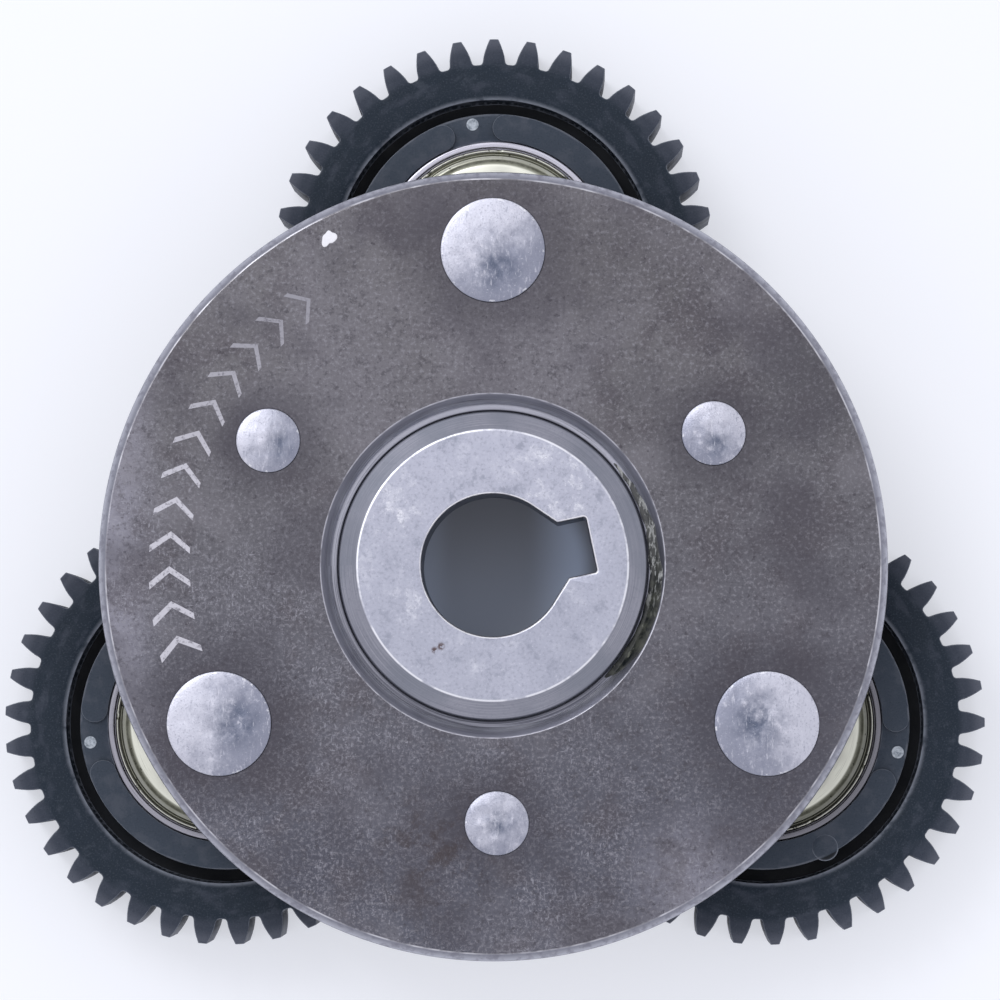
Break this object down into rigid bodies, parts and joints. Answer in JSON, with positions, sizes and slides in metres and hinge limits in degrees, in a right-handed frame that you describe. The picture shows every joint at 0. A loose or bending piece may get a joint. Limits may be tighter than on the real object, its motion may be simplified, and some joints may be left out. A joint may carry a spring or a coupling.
{
  "type": "planetary gear carrier",
  "caption": "Round steel planet carrier with a keyed roller clutch in its centre and black nylon planet gears on ball bearings behind it.",
  "frame": {"origin": "on the main axis, at the rear face of the carrier and the rear end of the keyed bore", "axes": "+Z along the main axis, out of the front plate; +Y from the main axis to the first planet gear"},
  "size_m": [0.1082, 0.1017, 0.0243],
  "materials": {
    "ground_steel": "dark ground and tumbled, purple-brown tint, fine scratches",
    "dark_steel": "dark heat treated",
    "race_steel": "turned, bright, satin",
    "peened_steel": "bright, peened, mottled",
    "bearing_steel": "ground bearing steel",
    "polished_steel": "polished",
    "shield_zinc": "zinc plated, slightly yellow",
    "cage_steel": "pressed steel",
    "spring_steel": "dark spring steel",
    "washer_steel": "plain steel",
    "black_nylon": "moulded, matte black"
  },
  "bodies": {
    "carrier": {"back_plate": "ground_steel", "cam_ring": "dark_steel", "front_plate": "ground_steel", "roller_springs": "spring_steel", "body_rivet_1": "peened_steel", "planet_pin_1": "peened_steel", "spacer_washer_1": "washer_steel", "pin_clip_1": "spring_steel", "bearing_inner_ring_1": "bearing_steel", "body_rivet_2": "peened_steel", "planet_pin_2": "peened_steel", "spacer_washer_2": "washer_steel", "pin_clip_2": "spring_steel", "bearing_inner_ring_2": "bearing_steel", "body_rivet_3": "peened_steel", "planet_pin_3": "peened_steel", "spacer_washer_3": "washer_steel", "pin_clip_3": "spring_steel", "bearing_inner_ring_3": "bearing_steel"},
    "clutch_race": {"inner_race": "race_steel"},
    "planet_1": {"planet_gear_1": "black_nylon", "bearing_outer_ring_1": "bearing_steel", "front_shield_1": "shield_zinc", "rear_shield_1": "shield_zinc"},
    "planet_2": {"planet_gear_2": "black_nylon", "bearing_outer_ring_2": "bearing_steel", "front_shield_2": "shield_zinc", "rear_shield_2": "shield_zinc"},
    "planet_3": {"planet_gear_3": "black_nylon", "bearing_outer_ring_3": "bearing_steel", "front_shield_3": "shield_zinc", "rear_shield_3": "shield_zinc"},
    "ball_set_1": {"bearing_balls_1": "polished_steel", "ball_cage_1": "cage_steel"},
    "ball_set_2": {"bearing_balls_2": "polished_steel", "ball_cage_2": "cage_steel"},
    "ball_set_3": {"bearing_balls_3": "polished_steel", "ball_cage_3": "cage_steel"},
    "roller_1": {"roller_1": "polished_steel"},
    "roller_2": {"roller_2": "polished_steel"},
    "roller_3": {"roller_3": "polished_steel"},
    "roller_4": {"roller_4": "polished_steel"},
    "roller_5": {"roller_5": "polished_steel"},
    "roller_6": {"roller_6": "polished_steel"},
    "roller_7": {"roller_7": "polished_steel"},
    "roller_8": {"roller_8": "polished_steel"}
  },
  "joints": [
    {"name": "race_spin", "type": "hinge", "parent": "carrier", "child": "clutch_race", "pos_m": [0, 0, 0], "axis": [0, 0, 1], "continuous": true},
    {"name": "planet_1_spin", "type": "hinge", "parent": "carrier", "child": "planet_1", "pos_m": [0, 0.03438, -0.0048], "axis": [0, 0, 1], "continuous": true},
    {"name": "planet_2_spin", "type": "hinge", "parent": "carrier", "child": "planet_2", "pos_m": [-0.02977, -0.01719, -0.0048], "axis": [0, 0, 1], "continuous": true},
    {"name": "planet_3_spin", "type": "hinge", "parent": "carrier", "child": "planet_3", "pos_m": [0.02977, -0.01719, -0.0048], "axis": [0, 0, 1], "continuous": true},
    {"name": "ball_set_1_orbit", "type": "hinge", "parent": "carrier", "child": "ball_set_1", "pos_m": [0, 0.03438, -0.0048], "axis": [0, 0, 1], "continuous": true},
    {"name": "ball_set_2_orbit", "type": "hinge", "parent": "carrier", "child": "ball_set_2", "pos_m": [-0.02977, -0.01719, -0.0048], "axis": [0, 0, 1], "continuous": true},
    {"name": "ball_set_3_orbit", "type": "hinge", "parent": "carrier", "child": "ball_set_3", "pos_m": [0.02977, -0.01719, -0.0048], "axis": [0, 0, 1], "continuous": true},
    {"name": "roller_1_spin", "type": "hinge", "parent": "carrier", "child": "roller_1", "pos_m": [0.0145, 0, 0.00475], "axis": [0, 0, 1], "continuous": true},
    {"name": "roller_2_spin", "type": "hinge", "parent": "carrier", "child": "roller_2", "pos_m": [0.01025, 0.01025, 0.00475], "axis": [0, 0, 1], "continuous": true},
    {"name": "roller_3_spin", "type": "hinge", "parent": "carrier", "child": "roller_3", "pos_m": [0, 0.0145, 0.00475], "axis": [0, 0, 1], "continuous": true},
    {"name": "roller_4_spin", "type": "hinge", "parent": "carrier", "child": "roller_4", "pos_m": [-0.01025, 0.01025, 0.00475], "axis": [0, 0, 1], "continuous": true},
    {"name": "roller_5_spin", "type": "hinge", "parent": "carrier", "child": "roller_5", "pos_m": [-0.0145, 0, 0.00475], "axis": [0, 0, 1], "continuous": true},
    {"name": "roller_6_spin", "type": "hinge", "parent": "carrier", "child": "roller_6", "pos_m": [-0.01025, -0.01025, 0.00475], "axis": [0, 0, 1], "continuous": true},
    {"name": "roller_7_spin", "type": "hinge", "parent": "carrier", "child": "roller_7", "pos_m": [0, -0.0145, 0.00475], "axis": [0, 0, 1], "continuous": true},
    {"name": "roller_8_spin", "type": "hinge", "parent": "carrier", "child": "roller_8", "pos_m": [0.01025, -0.01025, 0.00475], "axis": [0, 0, 1], "continuous": true}
  ],
  "couplings": [
    {"joint": "ball_set_1_orbit", "follows": "planet_1_spin", "ratio": 0.63229},
    {"joint": "ball_set_2_orbit", "follows": "planet_2_spin", "ratio": 0.63229},
    {"joint": "ball_set_3_orbit", "follows": "planet_3_spin", "ratio": 0.63229},
    {"joint": "roller_1_spin", "follows": "race_spin", "ratio": -6.25},
    {"joint": "roller_2_spin", "follows": "race_spin", "ratio": -6.25},
    {"joint": "roller_3_spin", "follows": "race_spin", "ratio": -6.25},
    {"joint": "roller_4_spin", "follows": "race_spin", "ratio": -6.25},
    {"joint": "roller_5_spin", "follows": "race_spin", "ratio": -6.25},
    {"joint": "roller_6_spin", "follows": "race_spin", "ratio": -6.25},
    {"joint": "roller_7_spin", "follows": "race_spin", "ratio": -6.25},
    {"joint": "roller_8_spin", "follows": "race_spin", "ratio": -6.25}
  ]
}
